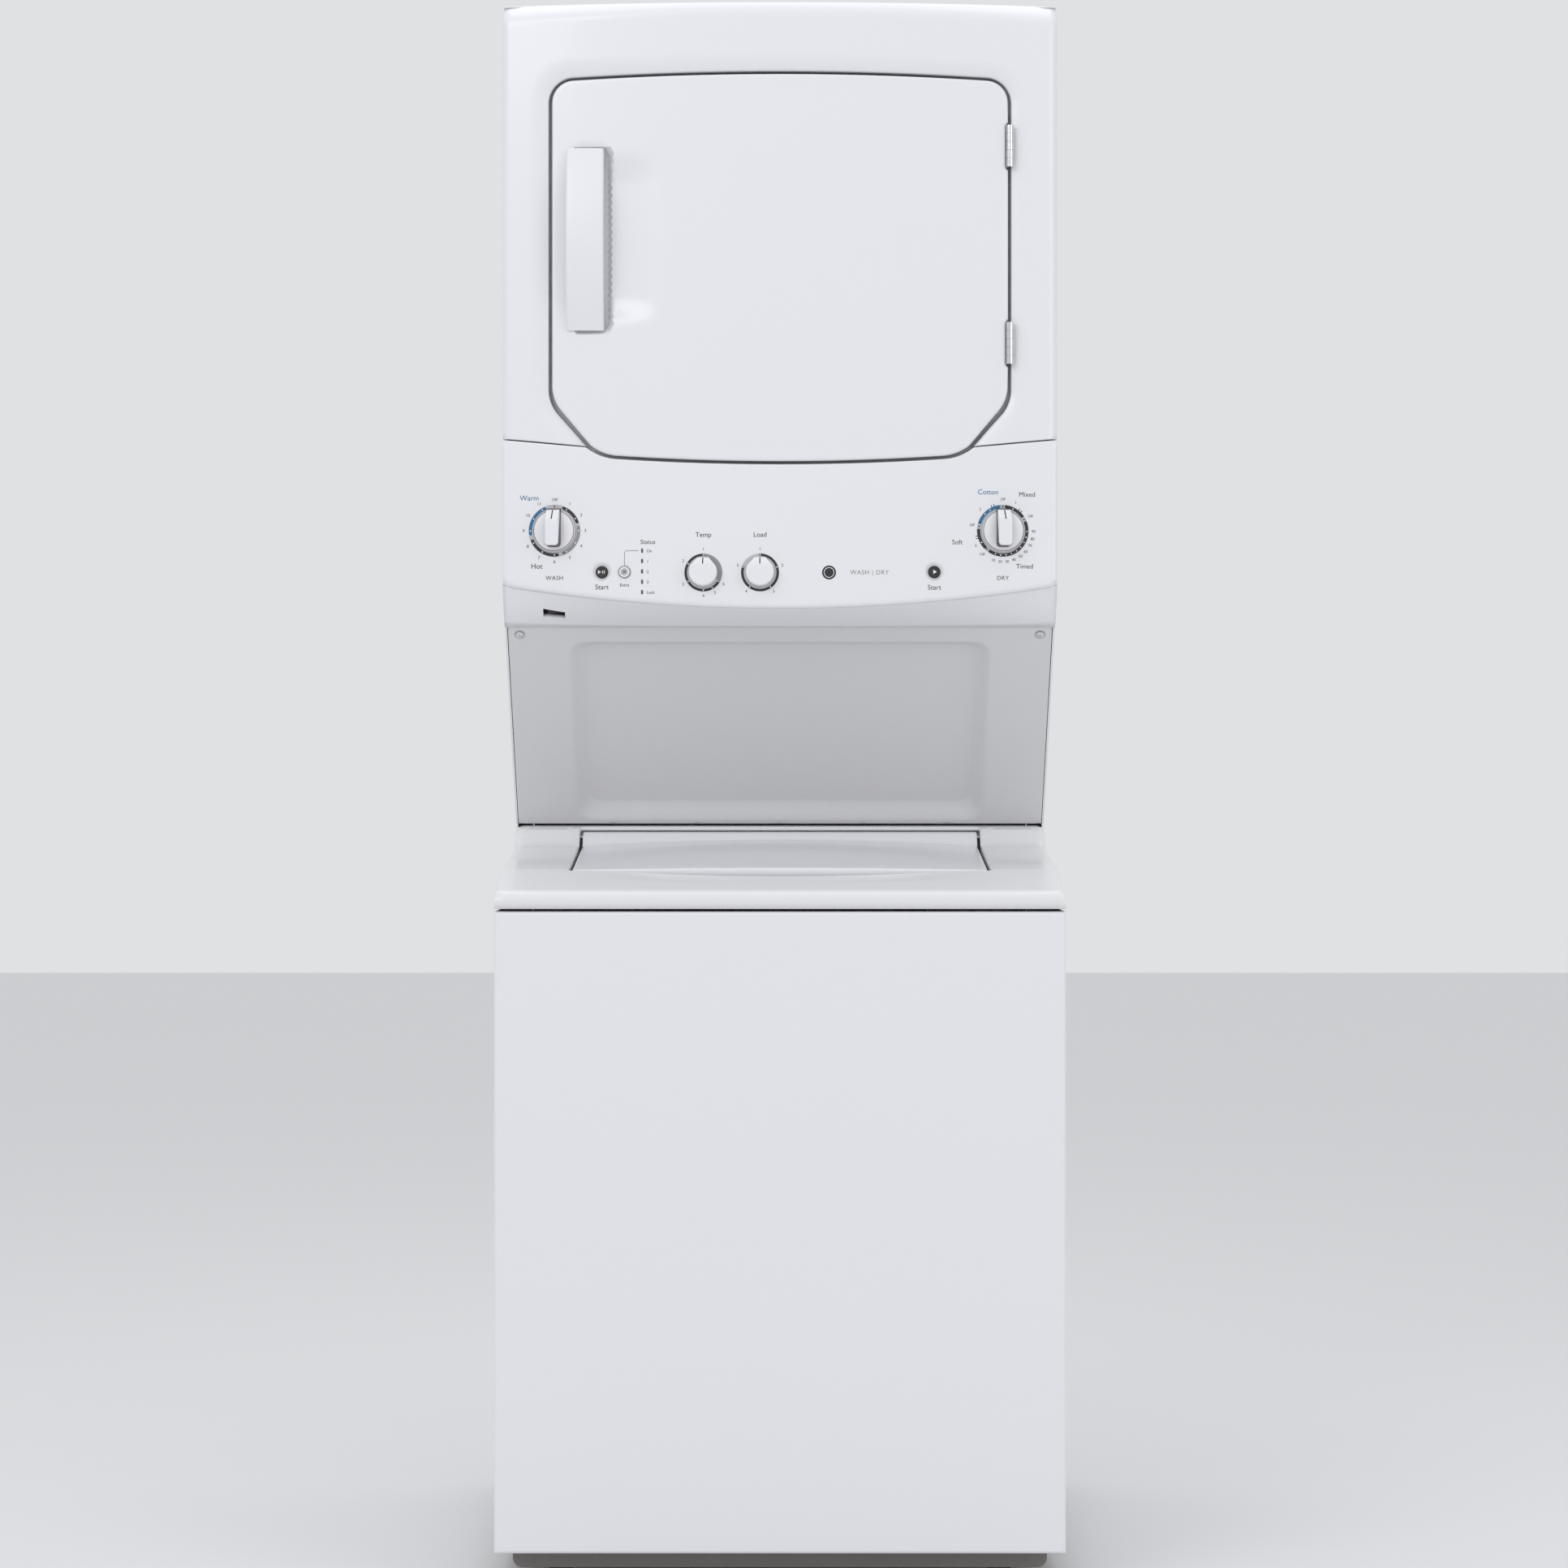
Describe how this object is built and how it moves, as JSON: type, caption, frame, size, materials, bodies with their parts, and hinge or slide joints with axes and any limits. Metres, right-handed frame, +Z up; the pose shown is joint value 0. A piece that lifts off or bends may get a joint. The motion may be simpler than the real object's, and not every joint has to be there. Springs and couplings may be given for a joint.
{
  "type": "washer dryer stack",
  "caption": "Full-size top-loading washer with a front-loading tumble dryer and shared control console stacked over it.",
  "frame": {"origin": "on the floor under the middle of the machine", "axes": "+X to the right seen from the front, -Y to the front, +Z up"},
  "size_m": [0.68, 0.784, 1.9149],
  "materials": {
    "white_enamel": "gloss enamel",
    "deck_enamel": "gloss enamel",
    "splash_grey": "satin enamel",
    "kick_grey": "satin",
    "white_plastic": "moulded",
    "black_plastic": "moulded",
    "glide_plastic": "moulded",
    "dark_lens": "clear over dark",
    "seal_felt": "felt",
    "rubber_foot": "moulded",
    "belt_rubber": "ribbed",
    "chrome": "polished",
    "steel": "turned",
    "motor_steel": "satin",
    "cast_metal": "as cast",
    "galvanised": "galvanised",
    "stainless": "brushed",
    "drum_enamel": "enamel"
  },
  "bodies": {
    "cabinet": {"backsplash_panel": "splash_grey", "backsplash_screws": "chrome", "base_pan": "kick_grey", "blower_housing_and_lint_duct": "galvanised", "control_console": "white_plastic", "drain_pump": "black_plastic", "drain_spigot": "black_plastic", "drum_belt": "belt_rubber", "drum_glides": "glide_plastic", "dryer_base": "galvanised", "dryer_cabinet": "white_enamel", "dryer_front_panel": "white_enamel", "dryer_motor": "motor_steel", "dryer_top_panel": "white_enamel", "exhaust_duct": "galvanised", "frame_hinge_leaves_and_pins": "chrome", "front_bulkhead": "galvanised", "gearcase": "cast_metal", "heater_box": "galvanised", "leveling_feet": "rubber_foot", "lid_lock": "black_plastic", "outer_tub": "white_plastic", "rear_bulkhead": "galvanised", "rotary_switches": "black_plastic", "stand_rear_panel": "galvanised", "stand_side_panels": "white_enamel", "status_lights": "dark_lens", "suspension_rods": "steel", "terminal_cover": "galvanised", "top_clip": "black_plastic", "washer_belt": "belt_rubber", "washer_cabinet": "white_enamel", "washer_front_panel": "white_enamel", "washer_motor": "motor_steel", "washer_top_deck": "deck_enamel", "water_inlet_valve": "black_plastic"},
    "lid": {"washer_lid": "white_enamel", "lid_liner": "white_plastic", "lid_hinge_pins": "steel"},
    "basket": {"wash_basket": "stainless"},
    "agitator_drive": {"agitator": "white_plastic", "drive_pulley": "cast_metal"},
    "washer_motor_rotor": {"washer_motor_pulley": "steel"},
    "dryer_door": {"door_outer_panel": "white_enamel", "door_inner_panel": "white_enamel", "door_handle": "white_plastic", "door_seal": "seal_felt", "door_hinge_leaves": "chrome"},
    "drum": {"dryer_drum": "drum_enamel", "drum_baffles": "white_plastic"},
    "dryer_motor_rotor": {"dryer_motor_shaft": "steel", "blower_wheel": "white_plastic"},
    "lint_screen": {"lint_filter": "white_plastic"},
    "washer_cycle_dial": {"washer_cycle_knob": "white_plastic"},
    "dryer_cycle_dial": {"dryer_cycle_knob": "white_plastic"},
    "temperature_dial": {"temperature_knob": "white_plastic"},
    "load_size_dial": {"load_size_knob": "white_plastic"},
    "washer_start_key": {"washer_start_button": "black_plastic"},
    "rinse_key": {"rinse_button": "white_plastic"},
    "dryer_start_key": {"dryer_start_button": "black_plastic"}
  },
  "joints": [
    {"name": "lid_hinge", "type": "hinge", "parent": "cabinet", "child": "lid", "pos_m": [0, 0.02, 0.891], "axis": [-1, 0, 0], "range_deg": [0, 50]},
    {"name": "basket_spin", "type": "hinge", "parent": "cabinet", "child": "basket", "pos_m": [0, -0.072, 0.5], "axis": [0, 0, 1], "continuous": true},
    {"name": "agitator_turn", "type": "hinge", "parent": "cabinet", "child": "agitator_drive", "pos_m": [0, -0.072, 0.4], "axis": [0, 0, 1], "continuous": true},
    {"name": "washer_motor_turn", "type": "hinge", "parent": "cabinet", "child": "washer_motor_rotor", "pos_m": [0.185, 0.088, 0.12], "axis": [0, 0, 1], "continuous": true},
    {"name": "door_hinge", "type": "hinge", "parent": "cabinet", "child": "dryer_door", "pos_m": [0.28125, -0.248, 1.6], "axis": [0, 0, 1], "range_deg": [0, 160]},
    {"name": "drum_spin", "type": "hinge", "parent": "cabinet", "child": "drum", "pos_m": [0, 0.05, 1.59], "axis": [0, 1, 0], "continuous": true},
    {"name": "dryer_motor_turn", "type": "hinge", "parent": "cabinet", "child": "dryer_motor_rotor", "pos_m": [0.19, 0.05, 1.265], "axis": [0, 1, 0], "continuous": true},
    {"name": "lint_screen_slide", "type": "slide", "parent": "cabinet", "child": "lint_screen", "axis": [0, 0, 1], "range_m": [0, 0.105]},
    {"name": "washer_cycle_turn", "type": "hinge", "parent": "cabinet", "child": "washer_cycle_dial", "pos_m": [-0.2756, -0.2487, 1.269], "axis": [-0.1453, -0.9892, 0.0212], "continuous": true},
    {"name": "dryer_cycle_turn", "type": "hinge", "parent": "cabinet", "child": "dryer_cycle_dial", "pos_m": [0.2724, -0.24916, 1.269], "axis": [0.1435, -0.9894, 0.0221], "continuous": true},
    {"name": "temperature_turn", "type": "hinge", "parent": "cabinet", "child": "temperature_dial", "pos_m": [-0.0932, -0.26907, 1.217], "axis": [-0.052, -0.9972, 0.053], "range_deg": [0, 240]},
    {"name": "load_size_turn", "type": "hinge", "parent": "cabinet", "child": "load_size_dial", "pos_m": [-0.0242, -0.27133, 1.217], "axis": [-0.0135, -0.9983, 0.0565], "range_deg": [-288, 0]},
    {"name": "washer_start_press", "type": "slide", "parent": "cabinet", "child": "washer_start_key", "axis": [0.1236, 0.9917, -0.0353], "range_m": [0, 0.0025], "stiffness_N_per_m": 400, "springref_m": -0.0005},
    {"name": "rinse_press", "type": "slide", "parent": "cabinet", "child": "rinse_key", "axis": [0.1071, 0.9934, -0.0407], "range_m": [0, 0.0025], "stiffness_N_per_m": 400, "springref_m": -0.0005},
    {"name": "dryer_start_press", "type": "slide", "parent": "cabinet", "child": "dryer_start_key", "axis": [-0.1064, 0.9935, -0.0409], "range_m": [0, 0.0025], "stiffness_N_per_m": 400, "springref_m": -0.0005}
  ],
  "couplings": [
    {"joint": "washer_motor_turn", "follows": "agitator_turn", "ratio": 3.6},
    {"joint": "dryer_motor_turn", "follows": "drum_spin", "ratio": 23.04}
  ]
}
